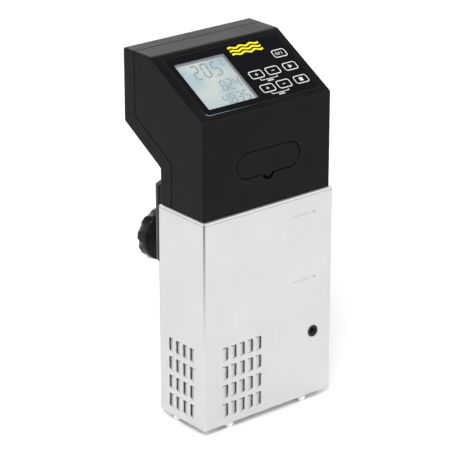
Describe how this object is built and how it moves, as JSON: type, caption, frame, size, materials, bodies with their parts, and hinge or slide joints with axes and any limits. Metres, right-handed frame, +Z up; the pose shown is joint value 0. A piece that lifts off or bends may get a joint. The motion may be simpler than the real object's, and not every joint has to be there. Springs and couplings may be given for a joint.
{
  "type": "sous vide circulator",
  "caption": "Clamp-on sous vide circulator with a louvred steel skirt, a black angled head with display and keys, and a screw clamp behind.",
  "frame": {"origin": "centre of the bounding box's footprint, at the bottom of the feet", "axes": "+Z up, -Y the front with the hatch and the outlet, +X to the right as seen from the front"},
  "size_m": [0.135, 0.1488, 0.3051],
  "materials": {
    "skirt_steel": "brushed, fine upright grain",
    "plain_steel": "satin",
    "screw_steel": "bright",
    "black_plastic": "fine moulded texture",
    "knob_plastic": "satin",
    "inner_plastic": "plain",
    "panel_gloss": "glossy film with white key outlines",
    "window_clear": "clear",
    "lcd_face": "pale blue-green display with grey segments",
    "board_green": "solder mask",
    "black_rubber": "matte",
    "foot_silicone": "translucent white",
    "bracket_paint": "fine powder coat",
    "aluminium": "plain",
    "bush_brass": "plain",
    "reset_red": "plain"
  },
  "bodies": {
    "root": {"steel_skirt": "skirt_steel", "back_panel": "skirt_steel", "base_plate": "plain_steel", "foot_1": "foot_silicone", "foot_2": "foot_silicone", "foot_3": "foot_silicone", "foot_4": "foot_silicone", "foot_5": "foot_silicone", "foot_6": "foot_silicone", "deck_gasket": "black_rubber", "deck_plate": "aluminium", "pump_housing": "inner_plastic", "pump_cover": "inner_plastic", "motor_can": "plain_steel", "shaft_bearing": "bush_brass", "heating_element": "plain_steel", "temperature_probe": "plain_steel", "level_probe_min": "plain_steel", "level_probe_max": "plain_steel", "outlet_grommet": "black_rubber", "front_housing": "black_plastic", "rear_housing": "black_plastic", "panel_overlay": "panel_gloss", "display_window": "window_clear", "lcd_module": "lcd_face", "display_board": "board_green", "service_tray": "inner_plastic", "overheat_cutout": "inner_plastic", "control_board": "board_green", "transformer": "inner_plastic", "heat_sink": "aluminium", "power_inlet": "inner_plastic", "clamp_bracket": "bracket_paint", "jaw_pad": "black_rubber", "clamp_nut": "plain_steel", "cover_screw_1": "screw_steel", "cover_screw_2": "screw_steel", "cover_screw_3": "screw_steel", "cover_screw_4": "screw_steel", "panel_screw_1": "screw_steel", "panel_screw_2": "screw_steel", "panel_screw_3": "screw_steel", "panel_screw_4": "screw_steel", "bracket_screw_1": "screw_steel", "bracket_screw_2": "screw_steel"},
    "clamp_pad": {"pressure_pad": "black_rubber"},
    "clamp_screw": {"clamp_screw": "plain_steel", "clamp_knob": "knob_plastic"},
    "pump_rotor": {"motor_shaft": "plain_steel", "cooling_fan": "inner_plastic", "impeller": "inner_plastic"},
    "hatch": {"service_hatch": "black_plastic"},
    "reset": {"reset_button": "reset_red"},
    "key_power": {"key_power": "panel_gloss"},
    "key_start": {"key_start": "panel_gloss"},
    "key_stop": {"key_stop": "panel_gloss"},
    "key_temp_up": {"key_temp_up": "panel_gloss"},
    "key_temp_down": {"key_temp_down": "panel_gloss"},
    "key_time_up": {"key_time_up": "panel_gloss"},
    "key_time_down": {"key_time_down": "panel_gloss"}
  },
  "joints": [
    {"name": "clamp_slide", "type": "slide", "parent": "root", "child": "clamp_pad", "axis": [0, -1, 0], "range_m": [0, 0.0246]},
    {"name": "clamp_turn", "type": "hinge", "parent": "clamp_pad", "child": "clamp_screw", "pos_m": [0, 0.0624, 0.1175], "axis": [0, -1, 0], "range_deg": [0, 4410]},
    {"name": "pump_spin", "type": "hinge", "parent": "root", "child": "pump_rotor", "pos_m": [0.0296, -0.0446, 0.0047], "axis": [0, 0, 1], "continuous": true},
    {"name": "hatch_pull", "type": "slide", "parent": "root", "child": "hatch", "axis": [0, -1, 0], "range_m": [0, 0.03]},
    {"name": "reset_press", "type": "slide", "parent": "root", "child": "reset", "axis": [0, 1, 0], "range_m": [0, 0.0012], "stiffness_N_per_m": 2500},
    {"name": "press_power", "type": "slide", "parent": "root", "child": "key_power", "axis": [0, 0.4955, -0.8686], "range_m": [0, 0.0005], "stiffness_N_per_m": 3000},
    {"name": "press_start", "type": "slide", "parent": "root", "child": "key_start", "axis": [0, 0.4955, -0.8686], "range_m": [0, 0.0005], "stiffness_N_per_m": 3000},
    {"name": "press_stop", "type": "slide", "parent": "root", "child": "key_stop", "axis": [0, 0.4955, -0.8686], "range_m": [0, 0.0005], "stiffness_N_per_m": 3000},
    {"name": "press_temp_up", "type": "slide", "parent": "root", "child": "key_temp_up", "axis": [0, 0.4955, -0.8686], "range_m": [0, 0.0005], "stiffness_N_per_m": 3000},
    {"name": "press_temp_down", "type": "slide", "parent": "root", "child": "key_temp_down", "axis": [0, 0.4955, -0.8686], "range_m": [0, 0.0005], "stiffness_N_per_m": 3000},
    {"name": "press_time_up", "type": "slide", "parent": "root", "child": "key_time_up", "axis": [0, 0.4955, -0.8686], "range_m": [0, 0.0005], "stiffness_N_per_m": 3000},
    {"name": "press_time_down", "type": "slide", "parent": "root", "child": "key_time_down", "axis": [0, 0.4955, -0.8686], "range_m": [0, 0.0005], "stiffness_N_per_m": 3000}
  ],
  "couplings": [
    {"joint": "clamp_slide", "follows": "clamp_turn", "m_per_rad": 0.00031831}
  ]
}
